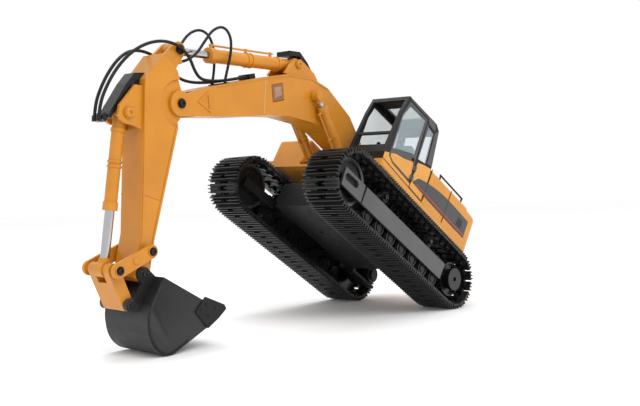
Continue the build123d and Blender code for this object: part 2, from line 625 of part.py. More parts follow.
def side_pipe(start, end, length, outer, y=0.0, up=1.0):
    """Thin pressure pipe with three clamps on a barrel's upper side."""
    dx, dz = end[0] - start[0], end[1] - start[1]
    size = hypot(dx, dz)
    normal = (-dz / size * up, dx / size * up)
    lift = outer + 2.6

    def spot(distance, height):
        x, _, z = along(start, end, distance, y)
        return (x + normal[0] * height, y, z + normal[1] * height)

    pipes = bar(spot(length * 0.22, lift), spot(length * 0.97, lift), 0.85)
    for share in (0.25, 0.55, 0.95):
        pipes += bar(spot(length * share, outer - 0.5), spot(length * share, lift + 1.1), 1.3)
    return pipes


def rod(start, end, inside, radius, eye_r, eye_half, y=0.0):
    """Piston rod from inside the barrel to its eye at end."""
    body = bar(along(start, end, inside, y), (end[0], y, end[1]), radius)
    collar = reach(start, end) - eye_r - 2.2
    body += bar(along(start, end, collar, y), (end[0], y, end[1]), radius + 0.7)
    return body + pin(end, eye_r, y - eye_half, y + eye_half)


STICK_CYL_LEN = 97.0
BOOM_CYL_LEN = 66.0
BUCKET_CYL_LEN = 68.5


def stick_cylinder_barrel():
    body = barrel(STICK_CYL_BASE, STICK_CYL_HEAD, STICK_CYL_LEN, 5.6, 3.2 + RUNNING, 5.8, 7.8)
    body += side_pipe(STICK_CYL_BASE, STICK_CYL_HEAD, STICK_CYL_LEN, 5.6)
    return body - pin(STICK_CYL_BASE, 2.2 + RUNNING, -9, 9)


def stick_cylinder_rod():
    return rod(STICK_CYL_BASE, STICK_CYL_HEAD, 42.0, 3.2, 5.6, 5.0)


def boom_cylinder_barrels():
    out = []
    for side in (1, -1):
        y = side * BOOM_CYL_Y
        body = barrel(BOOM_CYL_FOOT, BOOM_CYL_HEAD, BOOM_CYL_LEN, 3.9, 2.5 + RUNNING, 4.6, 3.4, y, 7.0)
        body += side_pipe(BOOM_CYL_FOOT, BOOM_CYL_HEAD, BOOM_CYL_LEN, 3.9, y, -1.0)
        ends = sorted((side * (BOOM_CYL_Y - 3.4), side * (BOOM_CYL_Y + 7.2)))
        out.append(body + pin(BOOM_CYL_FOOT, 1.8, *ends))
    return out


def boom_cylinder_rods():
    return [rod(BOOM_CYL_FOOT, BOOM_CYL_HEAD, 15.0, 2.5, 4.4, 3.4, side * BOOM_CYL_Y) for side in (1, -1)]


def bucket_cylinder_barrel():
    body = barrel(BUCKET_CYL_BASE, ROD_END, BUCKET_CYL_LEN, 4.6, 3.4 + RUNNING, 5.0, 6.6)
    return body - pin(BUCKET_CYL_BASE, 2.2 + RUNNING, -9, 9)


def bucket_cylinder_rod():
    return rod(BUCKET_CYL_BASE, ROD_END, 38.0, 3.4, 5.8, 4.6)


# ---- stick, linkage and bucket -------------------------------------------------------------

STICK_OUTLINE = [(251.4, 21.6), (268.4, 24.2), (271.4, -2.0), (246.8, -44.8), (214.5, -98.5), (207.0, -119.0),
                 (203.0, -127.0), (196.0, -127.0), (193.4, -116.0), (202.0, -95.2), (229.0, -10.0),
                 (228.0, 4.0), (238.0, 11.6)]


def stick():
    """Two moulded halves; slim round the boom pin so that the clevis clears, ears for both cylinders."""
    outline = make_face(Polyline(*STICK_OUTLINE, close=True))
    cavity = offset(outline, amount=-2.2)
    wide = extrude(Plane.XZ.offset(-STICK_WIDE_HALF) * outline, amount=STICK_WIDE_HALF)
    wide -= pin(TIP_PIN, CLEVIS_R - 0.4, STICK_HALF, STICK_WIDE_HALF + 1)
    wide -= extrude(Plane.XZ.offset(2.2 - STICK_HALF) * cavity, amount=STICK_HALF)
    wide += pin(TIP_PIN, 8.0, 0, STICK_HALF)
    wide += pin(BUCKET_PIN, 5.4, 0, STICK_WIDE_HALF) + pin(ROCKER_PIN, 5.0, 0, STICK_WIDE_HALF)
    wide += strap(STICK_CYL_HEAD, 6.0, (259.5, 16.0), 8.0, 5.4, 8.4)
    ear = prism([(274.8, -10.0), (277.6, -30.0), (275.0, -36.8), (268.0, -38.6), (258.0, -34.5), (252.0, -34.0),
                 (268.0, -6.0)], 7.3, 10.0)
    ear += pin(BUCKET_CYL_BASE, 8.0, 7.3, 10.0)
    wide += ear - prism([(250.8, -34.0), (251.5, -36.6), (267.4, -9.0), (262.0, -2.0)], 7.2, 9.9)
    wide -= pin(TIP_PIN, 2.4 + RUNNING, -1, 20) + pin(BUCKET_CYL_BASE, 2.2 + 0.02, -1, 20)
    wide -= pin(BUCKET_PIN, 2.4 + RUNNING, -1, 20) + pin(ROCKER_PIN, 2.4 + RUNNING, -1, 20)
    near = wide + nipple(LOOP_NEAR[0], LOOP_NEAR[1], 1.5, 2.6)
    far = mirror(wide, about=Plane.XZ) + nipple(LOOP_FAR[0], LOOP_FAR[1], 1.5, 2.6)
    return [near, far]


def stick_pins():
    """Trunnion pin of the bucket cylinder and the two pads under the stick cylinder's head bolts."""
    pads = both_sides(lambda: pin(STICK_CYL_HEAD, 3.4, 8.4, 9.8))
    return [pin(BUCKET_CYL_BASE, 2.2, -11.2, 11.2)] + pads


def actuator_housing():
    """Black gear housing above the bucket cylinder's trunnion, with the block two hoses start from."""
    body = prism([(270.67, 4.6), (277.8, -1.2), (279.2, -12.0), (279.6, -41.0), (276.4, -41.0), (275.8, -22.0),
                  (267.4, -21.0), (269.6, -10.0), (271.42, -2.0)], -5.8, 5.8)
    body += block(278.0, 281.8, -4.8, 4.8, -45.0, -39.5)
    for points in (JUMPER_FAR, JUMPER_NEAR):
        body += nipple(points[0], points[1], 1.9, 4.2)
    return body


def rocker():
    """Two dog-bone plates joined by the pin they turn on, with stub pins at the rod end."""
    body = pin(ROCKER_PIN, 2.4, -15.9, 15.9)
    for side in (1, -1):
        plate = strap(ROCKER_PIN, 5.0, ROD_END, 5.4, *sorted((side * 15.8, side * 18.4)))
        stub = pin(ROD_END, 3.2, *sorted((side * 12.5, side * 15.9)))
        body += plate + stub
    return body


def bucket_link():
    """Flat link from the rod end to the bucket, forked at the top, with its own pin at the bottom."""
    body = strap(ROD_END, 4.8, LINK_PIN, 4.6, -12.0, 12.0)
    body -= pin(ROD_END, 9.4, -5.0, 5.0)
    return body + pin(LINK_PIN, 2.2, -16.4, 16.4)


BUCKET_OUTLINE = [(189.5, -118.5), (190.8, -147.0), (173.0, -166.2), (154.5, -166.2), (132.6, -131.4),
                  (123.5, -113.5)]


def bucket():
    """Welded digging bucket: curved back, flat cheeks, lip and two ears that carry the pins."""
    outline = make_face(Polyline(*BUCKET_OUTLINE, close=True))
    for corner, radius in ((1, 28.0), (2, 24.0), (3, 13.0)):
        spot = Vector(*BUCKET_OUTLINE[corner], 0)
        nearest = sorted(outline.vertices(), key=lambda v: (Vector(v.X, v.Y, 0) - spot).length)[0]
        outline = fillet([nearest], radius)
    cavity = offset(outline, amount=-1.7)
    shell = extrude(Plane.XZ.offset(-BUCKET_HALF) * outline, amount=2 * BUCKET_HALF)
    shell -= extrude(Plane.XZ.offset(1.7 - BUCKET_HALF) * cavity, amount=2 * BUCKET_HALF - 3.4)
    shell -= prism([(187.7, -121.0), (187.7, -100.0), (118.0, -100.0), (126.4, -115.8)],
                   1.7 - BUCKET_HALF, BUCKET_HALF - 1.7)
    ear = prism([(199.0, -116.8), (188.9, -118.5), (190.2, -148.0), (196.5, -150.7), (201.0, -144.0),
                 (196.2, -138.0), (196.8, -129.0), (203.6, -124.6)], 12.4, 15.2)
    ear += pin(BUCKET_PIN, 5.2, 12.4, 15.2) + pin(LINK_PIN, 4.8, 12.4, 15.2)
    ear -= pin(LINK_PIN, 2.2 + RUNNING, 12, 16)
    for piece in both_sides(lambda: ear):
        shell += piece
    return shell + pin(BUCKET_PIN, 2.4, -15.3, 15.3)


def bucket_cutter():
    """Side cutters bolted to both cheeks beside the lip."""
    plate = prism([(147.4, -112.6), (127.2, -108.8), (123.6, -110.6), (126.6, -119.8), (132.4, -131.4),
                   (150.0, -126.6)], BUCKET_HALF, BUCKET_HALF + 1.5)
    for x, z in ((143.4, -117.2), (146.2, -123.2), (133.7, -115.6), (136.9, -123.0)):
        plate += pin((x, z), 1.1, BUCKET_HALF + 1.4, BUCKET_HALF + 2.0)
    return [plate, mirror(plate, about=Plane.XZ)]


# ---- hoses ---------------------------------------------------------------------------------

JUMPER_FAR = [(283.6, -2.6, -43.4), (287.2, -2.8, -36.6), (289.8, -3.0, -25.0), (290.6, -3.6, -10.0),
              (288.4, -5.0, 5.0), (282.6, -7.6, 17.0), (272.6, -10.4, 26.0), (260.0, -12.2, 31.4),
              (247.0, -12.2, 32.6), (235.6, -9.8, 30.0), (226.4, -6.6, 32.4), (216.0, -4.4, 39.8),
              (202.4, -3.8, 52.1), (185.9, -3.8, 69.2)]
JUMPER_NEAR = [(283.6, 2.6, -43.4), (287.4, 2.8, -36.2), (290.0, 3.4, -24.0), (290.8, 4.2, -9.0),
               (289.0, 5.8, 6.0), (283.8, 8.4, 20.0), (274.2, 10.8, 31.6), (261.0, 12.4, 38.0),
               (248.0, 12.4, 37.4), (237.0, 10.0, 33.2), (226.8, 6.8, 33.6), (216.2, 4.6, 40.4),
               (202.4, 3.8, 52.1), (185.9, 3.8, 69.2)]
LOOP_FAR = [(249.6, -6.9, 35.0), (247.0, -7.6, 40.0), (247.4, -8.6, 52.0), (245.8, -9.0, 66.0),
            (238.6, -9.2, 77.0), (228.0, -9.2, 79.6), (218.0, -9.0, 73.0), (211.0, -8.6, 62.0),
            (207.2, -7.8, 52.4), (206.6, -7.5, 49.4)]
LOOP_NEAR = [(249.2, 6.9, 32.4), (245.4, 7.6, 36.8), (241.4, 8.6, 47.0), (240.6, 9.0, 60.0),
             (239.2, 9.2, 73.0), (232.0, 9.2, 82.8), (221.6, 9.2, 81.4), (214.4, 9.0, 71.0),
             (210.8, 8.6, 60.0), (207.6, 7.8, 51.8), (206.6, 7.5, 49.4)]


def nipple(tip, beside, radius, length):
    """Fitting behind a hose's end: it points from the end away from the hose's next point."""
    tip = Vector(*tip)
    outward = (tip - Vector(*beside)).normalized()
    return Solid.make_cylinder(radius, length, Plane(origin=tip, z_dir=outward))


def hose(points, diameter):
    """Round hose of straight runs joined by the largest arcs their lengths allow."""
    radii = []
    for before, here, after in zip(points, points[1:], points[2:]):
        first, second = Vector(*here) - Vector(*before), Vector(*after) - Vector(*here)
        turn = radians(first.get_angle(second))
        radii.append(0.45 * min(first.length, second.length) / (sin(turn / 2) / cos(turn / 2)))
    path = FilletPolyline(*points, radius=radii)
    start = Plane(origin=path @ 0, z_dir=path % 0)
    tube = sweep(start * Circle(diameter / 2), path=path)
    ideal = pi * diameter ** 2 / 4 * path.length
    print("hose length", round(path.length, 1), "tightest arc", round(min(radii), 1),
          "volume share", round(tube.volume / ideal, 3))
    return tube


# ---- assembly ------------------------------------------------------------------------------

def build():
    """All nodes as name: (frame, list of solids); frame is "chassis" or "house"."""
    parts = {}
    parts["belly_frame"] = ("chassis", belly_frame())
    parts["slew_ring"] = ("chassis", slew_ring())
    parts["drive_motors"] = ("chassis", drive_motors())
    parts["side_plates"] = ("chassis", side_plates())
    parts["carrier_rollers"] = ("chassis", carrier_rollers())
    for name, side in (("left", 1), ("right", -1)):
        def on_side(solid):
            return solid if side > 0 else mirror(solid, about=Plane.XZ)
        parts["track_frame_" + name] = ("chassis", track_frame(side))
        parts["track_" + name] = ("chassis", track(side))
        parts["sprocket_" + name] = ("chassis", Pos(-HALF_BASE, 0, AXLE_Z) * on_side(sprocket()))
        parts["idler_" + name] = ("chassis", Pos(HALF_BASE, 0, AXLE_Z) * on_side(idler_wheel()))
        for k, x in enumerate(roller_centres()):
            roller = Pos(x, 0, ROLLER_Z) * on_side(bottom_roller())
            parts["roller_%s_%d" % (name, k + 1)] = ("chassis", roller)
    for make in (turntable, house_shell, counterweight, cab_frame, cab_glass, cab_door, door_glass, seat,
                 battery_pack, control_board, swing_motor, hood_fittings, boom, boom_pins, work_light,
                 hose_manifold, boom_cylinder_barrels, boom_cylinder_rods, stick_cylinder_barrel,
                 stick_cylinder_rod, stick, stick_pins, actuator_housing, bucket_cylinder_barrel,
                 bucket_cylinder_rod, rocker, bucket_link, bucket, bucket_cutter):
        parts[make.__name__] = ("house", make())
    parts["jumper_hose_far"] = ("house", hose(JUMPER_FAR, 2.6))
    parts["jumper_hose_near"] = ("house", hose(JUMPER_NEAR, 2.6))
    parts["loop_hose_far"] = ("house", hose(LOOP_FAR, 2.2))
    parts["loop_hose_near"] = ("house", hose(LOOP_NEAR, 2.2))
    return parts


def row_frames(lift=0.0, shift_x=0.0, shift_y=0.0):
    chassis = Pos(shift_x, shift_y, lift) * Rot(0, -TILT, 0)
    return {"chassis": chassis, "house": chassis * Rot(0, 0, SWING)}


def placed(parts, frames):
    return {name: [frames[frame] * solid for solid in solids_of(shape)]
            for name, (frame, shape) in parts.items()}


rough = placed(build(), row_frames())
boxes = [solid.bounding_box() for solids in rough.values() for solid in solids]
low = [min(getattr(box.min, axis) for box in boxes) for axis in "XYZ"]
high = [max(getattr(box.max, axis) for box in boxes) for axis in "XYZ"]
SHIFT = (-(low[0] + high[0]) / 2, -(low[1] + high[1]) / 2, -low[2])

os.makedirs("parts", exist_ok=True)
for name, solids in rough.items():
    moved = [Pos(*SHIFT) * solid for solid in solids]
    nodes[name] = moved
    export_step(Compound(children=moved), "parts/%s.step" % name)
print("shift", [round(value, 3) for value in SHIFT])
print("size", [round(b - a, 2) for a, b in zip(low, high)], "nodes", len(nodes))
for name in ("track_left", "track_right", "bucket", "bucket_cutter"):
    print(name, "lowest", round(min(s.bounding_box().min.Z for s in nodes[name]), 2))
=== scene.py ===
import json
from math import cos, hypot, pi, radians, sin

import bmesh
import bpy
from mathutils import Matrix, Vector
from mathutils.geometry import tessellate_polygon


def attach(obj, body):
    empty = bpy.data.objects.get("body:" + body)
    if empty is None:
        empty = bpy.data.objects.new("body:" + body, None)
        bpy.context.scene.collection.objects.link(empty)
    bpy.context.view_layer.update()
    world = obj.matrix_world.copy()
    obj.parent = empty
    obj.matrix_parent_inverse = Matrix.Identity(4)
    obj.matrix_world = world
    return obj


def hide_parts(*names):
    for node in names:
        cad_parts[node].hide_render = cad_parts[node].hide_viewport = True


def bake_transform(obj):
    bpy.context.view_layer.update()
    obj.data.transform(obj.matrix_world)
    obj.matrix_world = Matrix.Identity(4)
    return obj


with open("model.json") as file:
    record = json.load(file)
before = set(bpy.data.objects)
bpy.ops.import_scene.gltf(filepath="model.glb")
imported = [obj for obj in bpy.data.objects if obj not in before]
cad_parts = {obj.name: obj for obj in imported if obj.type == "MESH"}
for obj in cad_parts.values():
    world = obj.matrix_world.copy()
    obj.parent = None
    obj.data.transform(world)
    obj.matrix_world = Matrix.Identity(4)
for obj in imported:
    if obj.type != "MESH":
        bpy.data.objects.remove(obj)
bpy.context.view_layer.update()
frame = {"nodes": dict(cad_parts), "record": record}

# Places are in millimetres of the house's own frame (X forward, Y left, Z up), as in the CAD. That frame
# is found from the record's joints and turned into the row frame, in metres.

MM = 0.001
JOINTS = {joint["name"]: joint for joint in frame["record"]["behaviour"]["joints"]}
SWING_HEIGHT = 58.0
TIP_PIN = (236.0, 2.5)
STICK_CYL_BASE = (147.6, 113.0)
STICK_CYL_HEAD = (256.5, 38.0)
BOOM_CYL_HEAD = (118.6, 100.6)
BUCKET_CYL_BASE = (269.0, -30.6)
ROD_END = (221.0, -131.0)
ROCKER_PIN = (203.6, -105.8)
BUCKET_PIN = (199.0, -122.0)
LINK_PIN = (197.3, -146.0)
HOUSE_SIDE = 69.0
BOOM_HALF = 13.0
BUCKET_HALF = 25.0
ROCKER_FACE = 18.4


def frame_matrix(y_axis):
    """Matrix from millimetres in a frame that turns about the swing axis to metres in the row frame."""
    z = Vector(JOINTS["swing"]["axis"]).normalized()
    y = Vector(y_axis).normalized()
    x = y.cross(z)
    origin = Vector(JOINTS["swing"]["pos_m"]) - z * SWING_HEIGHT * MM
    turn = Matrix((x, y, z)).transposed().to_4x4()
    return Matrix.Translation(origin) @ turn @ Matrix.Scale(MM, 4)


HOUSE = frame_matrix(-Vector(JOINTS["boom_lift"]["axis"]))
HOUSE_METRES = HOUSE @ Matrix.Scale(1 / MM, 4)


# ---- materials -----------------------------------------------------------------------------

def noise(tree, scale, detail, coords):
    node = tree.nodes.new("ShaderNodeTexNoise")
    node.inputs["Scale"].default_value = scale
    node.inputs["Detail"].default_value = detail
    tree.links.new(coords, node.inputs["Vector"])
    return node.outputs["Fac"]


def spread(tree, value, low, high):
    node = tree.nodes.new("ShaderNodeMapRange")
    node.inputs["From Min"].default_value = 0.3
    node.inputs["From Max"].default_value = 0.7
    node.inputs["To Min"].default_value = low
    node.inputs["To Max"].default_value = high
    tree.links.new(value, node.inputs["Value"])
    return node.outputs["Result"]


def mix(tree, fac, first, second):
    node = tree.nodes.new("ShaderNodeMix")
    node.data_type = "RGBA"
    tree.links.new(fac, node.inputs["Factor"])
    for colour, socket in ((first, node.inputs["A"]), (second, node.inputs["B"])):
        if isinstance(colour, tuple):
            socket.default_value = (*colour, 1)
        else:
            tree.links.new(colour, socket)
    return node.outputs["Result"]


def finish_material(name, colour, rough, metal=0.0, coat=0.0, grain=1800.0, bump=0.04, vary=0.07, worn=None,
                    edge=(0.53, 0.60), gloss=0.35):
    """Cloudy colour, uneven gloss and fine grain; worn is the colour that shows on sharp edges."""
    made = bpy.data.materials.new(name)
    made.use_nodes = True
    tree = made.node_tree
    shader = tree.nodes["Principled BSDF"]
    shader.inputs["Metallic"].default_value = metal
    shader.inputs["Specular IOR Level"].default_value = gloss
    shader.inputs["Coat Weight"].default_value = coat
    shader.inputs["Coat Roughness"].default_value = 0.18
    coords = tree.nodes.new("ShaderNodeTexCoord").outputs["Object"]
    clouds = noise(tree, 38.0, 4.0, coords)
    darker = tuple(c * (1 - vary) for c in colour)
    lighter = tuple(min(1.0, c * (1 + vary)) for c in colour)
    tint = mix(tree, spread(tree, clouds, 0.0, 1.0), darker, lighter)
    if worn:
        geometry = tree.nodes.new("ShaderNodeNewGeometry")
        ramp = tree.nodes.new("ShaderNodeMapRange")
        ramp.inputs["From Min"].default_value = edge[0]
        ramp.inputs["From Max"].default_value = edge[1]
        tree.links.new(geometry.outputs["Pointiness"], ramp.inputs["Value"])
        tint = mix(tree, ramp.outputs["Result"], tint, worn)
    tree.links.new(tint, shader.inputs["Base Color"])
    fine = noise(tree, grain, 3.0, coords)
    smudges = noise(tree, 160.0, 5.0, coords)
    tree.links.new(spread(tree, smudges, rough * 0.86, min(1.0, rough * 1.16)), shader.inputs["Roughness"])
    relief = tree.nodes.new("ShaderNodeBump")
    relief.inputs["Strength"].default_value = bump
    relief.inputs["Distance"].default_value = 0.0002
    tree.links.new(fine, relief.inputs["Height"])
    tree.links.new(relief.outputs["Normal"], shader.inputs["Normal"])
    return made


def clear_material(name, colour, through):
    made = finish_material(name, colour, 0.06, coat=0.3, grain=300.0, bump=0.01, vary=0.02)
    shader = made.node_tree.nodes["Principled BSDF"]
    shader.inputs["Alpha"].default_value = 1.0 - through
    return made


ENAMEL = finish_material("orange_enamel", (0.535, 0.205, 0.013), 0.36, coat=0.12, grain=2600.0, bump=0.05)
SHELL = finish_material("orange_moulding", (0.560, 0.222, 0.015), 0.34, coat=0.15, grain=3000.0, bump=0.04)
DECAL_ORANGE = finish_material("yellow_film", (0.610, 0.270, 0.040), 0.30, coat=0.1, bump=0.02)
BLACK = finish_material("black_moulding", (0.009, 0.009, 0.010), 0.46, grain=4200.0, bump=0.14, vary=0.15,
                        gloss=0.22)
GLOSS_BLACK = finish_material("black_lacquer", (0.006, 0.006, 0.007), 0.24, coat=0.15, bump=0.02, gloss=0.25)
GREY = finish_material("grey_moulding", (0.060, 0.060, 0.062), 0.40, grain=3600.0, bump=0.10)
DARK_GREY = finish_material("dark_grey_film", (0.045, 0.045, 0.046), 0.38, bump=0.04)
SHOES = finish_material("blackened_shoes", (0.014, 0.014, 0.014), 0.34, metal=0.55, grain=1500.0, bump=0.25,
                        vary=0.25, worn=(0.10, 0.10, 0.098), edge=(0.58, 0.78))
PLATE = finish_material("satin_plate", (0.110, 0.110, 0.113), 0.40, metal=0.6, grain=2200.0, bump=0.06)
WHEEL = finish_material("dark_cast", (0.030, 0.030, 0.031), 0.30, metal=0.8, grain=1300.0, bump=0.12,
                        worn=(0.26, 0.26, 0.26), edge=(0.56, 0.70))
STEEL = finish_material("bright_steel", (0.55, 0.55, 0.56), 0.28, metal=1.0, grain=1700.0, bump=0.06)
CHROME = finish_material("polished_rod", (0.46, 0.46, 0.47), 0.14, metal=1.0, grain=900.0, bump=0.01,
                         vary=0.02)
BUCKET = finish_material("charcoal_enamel", (0.013, 0.013, 0.014), 0.45, metal=0.1, grain=1500.0, bump=0.20,
                         gloss=0.22, vary=0.14, worn=(0.07, 0.07, 0.07), edge=(0.56, 0.72))
RUBBER = finish_material("hose_rubber", (0.007, 0.007, 0.007), 0.40, grain=2600.0, bump=0.12, gloss=0.25)
BOARD = finish_material("board_green", (0.015, 0.11, 0.035), 0.35, grain=800.0, bump=0.10)
WRAP = finish_material("battery_wrap", (0.02, 0.05, 0.22), 0.30, coat=0.3, bump=0.03)
RED = finish_material("red_line", (0.50, 0.020, 0.018), 0.35, bump=0.02)
GLASS = clear_material("cab_glazing", (0.42, 0.50, 0.54), 0.66)
LENS = clear_material("lamp_lens", (0.42, 0.26, 0.16), 0.25)
LAMP_FRAME = finish_material("lamp_frame", (0.26, 0.085, 0.020), 0.30, coat=0.4, bump=0.03)
SEAM = finish_material("pale_seam", (0.50, 0.40, 0.28), 0.5, bump=0.02)

NODE_LOOKS = {
    "belly_frame": BLACK, "slew_ring": WHEEL, "drive_motors": BLACK, "side_plates": PLATE,
    "carrier_rollers": WHEEL, "turntable": SHELL, "house_shell": SHELL, "counterweight": SHELL,
    "cab_frame": BLACK, "cab_glass": GLASS, "cab_door": GREY, "door_glass": GLASS, "seat": BLACK,
    "battery_pack": WRAP, "control_board": BOARD, "swing_motor": STEEL, "hood_fittings": BLACK,
    "boom": ENAMEL, "boom_pins": WHEEL, "work_light": LAMP_FRAME, "hose_manifold": BLACK,
    "boom_cylinder_barrels": ENAMEL, "boom_cylinder_rods": CHROME, "stick_cylinder_barrel": ENAMEL,
    "stick_cylinder_rod": CHROME, "stick": ENAMEL, "stick_pins": WHEEL, "actuator_housing": GLOSS_BLACK,
    "bucket_cylinder_barrel": ENAMEL, "bucket_cylinder_rod": CHROME, "rocker": ENAMEL,
    "bucket_link": ENAMEL, "bucket": BUCKET, "bucket_cutter": BUCKET,
}
FAMILY_LOOKS = (("track_frame", BLACK), ("track", SHOES), ("sprocket", GLOSS_BLACK), ("idler", WHEEL),
                ("roller", WHEEL))


def look_of(node):
    if node in NODE_LOOKS:
        return NODE_LOOKS[node]
    for family, look in FAMILY_LOOKS:
        if node.startswith(family):
            return look
    return RUBBER


for node_name, node_object in frame["nodes"].items():
    for material_slot in node_object.material_slots:
        material_slot.material = look_of(node_name)


def paint_eye(node, centre, reach=8.0):
    """Enamel on a chromed rod's eye: the faces whose middle is within reach mm of its pin line."""
    rod = frame["nodes"][node]
    rod.data.materials.append(ENAMEL)
    to_house = HOUSE.inverted() @ rod.matrix_world
    for polygon in rod.data.polygons:
        middle = to_house @ polygon.center
        if hypot(middle.x - centre[0], middle.z - centre[1]) < reach:
            polygon.material_index = len(rod.data.materials) - 1


paint_eye("stick_cylinder_rod", STICK_CYL_HEAD)
paint_eye("boom_cylinder_rods", BOOM_CYL_HEAD)
paint_eye("bucket_cylinder_rod", ROD_END)


# ---- mesh helpers --------------------------------------------------------------------------

def add_mesh(name, points, faces, look, body=None, place=HOUSE, smooth=False):
    """Mesh from points in millimetres of the given frame; it rides on body unless body is None."""
    mesh = bpy.data.meshes.new(name)
    mesh.from_pydata([place @ Vector(p) for p in points], [], faces)
    tidy = bmesh.new()
    tidy.from_mesh(mesh)
    bmesh.ops.recalc_face_normals(tidy, faces=tidy.faces)
    tidy.to_mesh(mesh)
    tidy.free()
    mesh.materials.append(look)
    for polygon in mesh.polygons:
        polygon.use_smooth = smooth
    made = bpy.data.objects.new(name, mesh)
    bpy.context.scene.collection.objects.link(made)
    if body:
        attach(made, body)
    return made


def plate(name, outline, y_in, y_out, look, body, rim=0.25):
    """Flat trim of an (x, z) outline between two y values, with a chamfer of rim round its outer face."""
    count = len(outline)
    middle = Vector((sum(p[0] for p in outline) / count, sum(p[1] for p in outline) / count))
    inset = []
    for p in outline:
        toward = middle - Vector(p)
        inset.append(Vector(p) + toward.normalized() * min(rim, toward.length / 2))
    shoulder = y_out - (rim if y_out > y_in else -rim) * 0.6
    rings = ([(x, y_in, z) for x, z in outline] + [(x, shoulder, z) for x, z in outline]
             + [(p.x, y_out, p.y) for p in inset])
    faces = []
    for ring in (0, 1):
        for k in range(count):
            after = (k + 1) % count
            faces.append((ring * count + k, ring * count + after, (ring + 1) * count + after,
                          (ring + 1) * count + k))
    for triangle in tessellate_polygon([[Vector((x, 0, z)) for x, z in outline]]):
        faces.append(tuple(triangle))
        faces.append(tuple(k + 2 * count for k in triangle))
    return add_mesh(name, rings, faces, look, body)


def curve_through(points, steps=6):
    """Smooth line through given points (Catmull-Rom), for the trim's curved edges."""
    ends = [points[0]] + list(points) + [points[-1]]
    line = []
    for a, b, c, d in zip(ends, ends[1:], ends[2:], ends[3:]):
        for k in range(steps):
            t = k / steps
            line.append(tuple(0.5 * (2 * q + (r - p) * t + (2 * p - 5 * q + 4 * r - s) * t ** 2
                                     + (3 * q - p - 3 * r + s) * t ** 3) for p, q, r, s in zip(a, b, c, d)))
    return line + [tuple(points[-1])]


def hexagon(angle, size):
    """Distance from the middle to the edge, at an angle, of a hexagon whose corners are size away."""
    return size * cos(pi / 6) / cos((angle + pi / 6) % (pi / 3) - pi / 6)


def bolt(name, centre, y_seat, side, radius, body, head=BLACK, socket=STEEL, slot="gear_steel"):
    """Socket screw head on the pin line at (x, z): a washer, a rounded head and a hexagonal socket."""
    steps = 24
    height = radius * 0.55
    profile = ((1.28, 0.0, False), (1.28, 0.14, False), (1.0, 0.16, False), (1.0, 0.85, False),
               (0.88, 1.0, False), (0.60, 1.0, False), (0.50, 0.98, True), (0.46, 0.45, True))
    points = []
    for share, lift, is_socket in profile:
        for k in range(steps):
            angle = 2 * pi * k / steps
            r = hexagon(angle, share * radius) if is_socket else share * radius
            points.append((centre[0] + r * cos(angle), y_seat + side * lift * height,
                           centre[1] + r * sin(angle)))
    faces = []
    for ring in range(len(profile) - 1):
        for k in range(steps):
            after = (k + 1) % steps
            faces.append((ring * steps + k, ring * steps + after, (ring + 1) * steps + after,
                          (ring + 1) * steps + k))
    last = (len(profile) - 1) * steps
    faces.append(tuple(range(last, last + steps)))
    faces.append(tuple(range(steps)))
    made = add_mesh(name, points, faces, head, body)
    made.data.materials.append(socket)
    first_socket_face = 5 * steps
    for polygon in made.data.polygons[first_socket_face:]:
        polygon.material_index = 1
    return made


def bolt_pair(name, centre, y_seat, radius, body, **looks):
    for side, word in ((1, "near"), (-1, "far")):
        bolt(name + "_" + word, centre, side * y_seat, side, radius, body, **looks)


def tube_rings(line, radius_at, steps=14):
    """Points and faces of a closed tube along a dense line of row-frame points, in metres."""
    points, faces = [], []
    normal = None
    travelled = 0.0
    for k, here in enumerate(line):
        before, after = line[max(0, k - 1)], line[min(len(line) - 1, k + 1)]
        tangent = (after - before).normalized()
        if normal is None:
            normal = tangent.orthogonal().normalized()
        normal = (normal - tangent * normal.dot(tangent)).normalized()
        across = tangent.cross(normal)
        if k:
            travelled += (here - line[k - 1]).length
        for j in range(steps):
            angle = 2 * pi * j / steps
            points.append(here + (normal * cos(angle) + across * sin(angle)) * radius_at(travelled))
    for k in range(len(line) - 1):
        for j in range(steps):
            after = (j + 1) % steps
            faces.append((k * steps + j, k * steps + after, (k + 1) * steps + after, (k + 1) * steps + j))
    faces.append(tuple(range(steps)))
    faces.append(tuple(range((len(line) - 1) * steps, len(line) * steps)))
    return points, faces


# ---- hoses ---------------------------------------------------------------------------------

# Routes in metres of the house frame, the same points as the CAD's.
JUMPER_FAR = [(0.2836, -0.0026, -0.0434), (0.2872, -0.0028, -0.0366), (0.2898, -0.0030, -0.0250),
              (0.2906, -0.0036, -0.0100), (0.2884, -0.0050, 0.0050), (0.2826, -0.0076, 0.0170),
              (0.2726, -0.0104, 0.0260), (0.2600, -0.0122, 0.0314), (0.2470, -0.0122, 0.0326),
              (0.2356, -0.0098, 0.0300), (0.2264, -0.0066, 0.0324), (0.2160, -0.0044, 0.0398),
              (0.2024, -0.0038, 0.0521), (0.1859, -0.0038, 0.0692)]
JUMPER_NEAR = [(0.2836, 0.0026, -0.0434), (0.2874, 0.0028, -0.0362), (0.2900, 0.0034, -0.0240),
               (0.2908, 0.0042, -0.0090), (0.2890, 0.0058, 0.0060), (0.2838, 0.0084, 0.0200),
               (0.2742, 0.0108, 0.0316), (0.2610, 0.0124, 0.0380), (0.2480, 0.0124, 0.0374),
               (0.2370, 0.0100, 0.0332), (0.2268, 0.0068, 0.0336), (0.2162, 0.0046, 0.0404),
               (0.2024, 0.0038, 0.0521), (0.1859, 0.0038, 0.0692)]
LOOP_FAR = [(0.2496, -0.0069, 0.0350), (0.2470, -0.0076, 0.0400), (0.2474, -0.0086, 0.0520),
            (0.2458, -0.0090, 0.0660), (0.2386, -0.0092, 0.0770), (0.2280, -0.0092, 0.0796),
            (0.2180, -0.0090, 0.0730), (0.2110, -0.0086, 0.0620), (0.2072, -0.0078, 0.0524),
            (0.2066, -0.0075, 0.0494)]
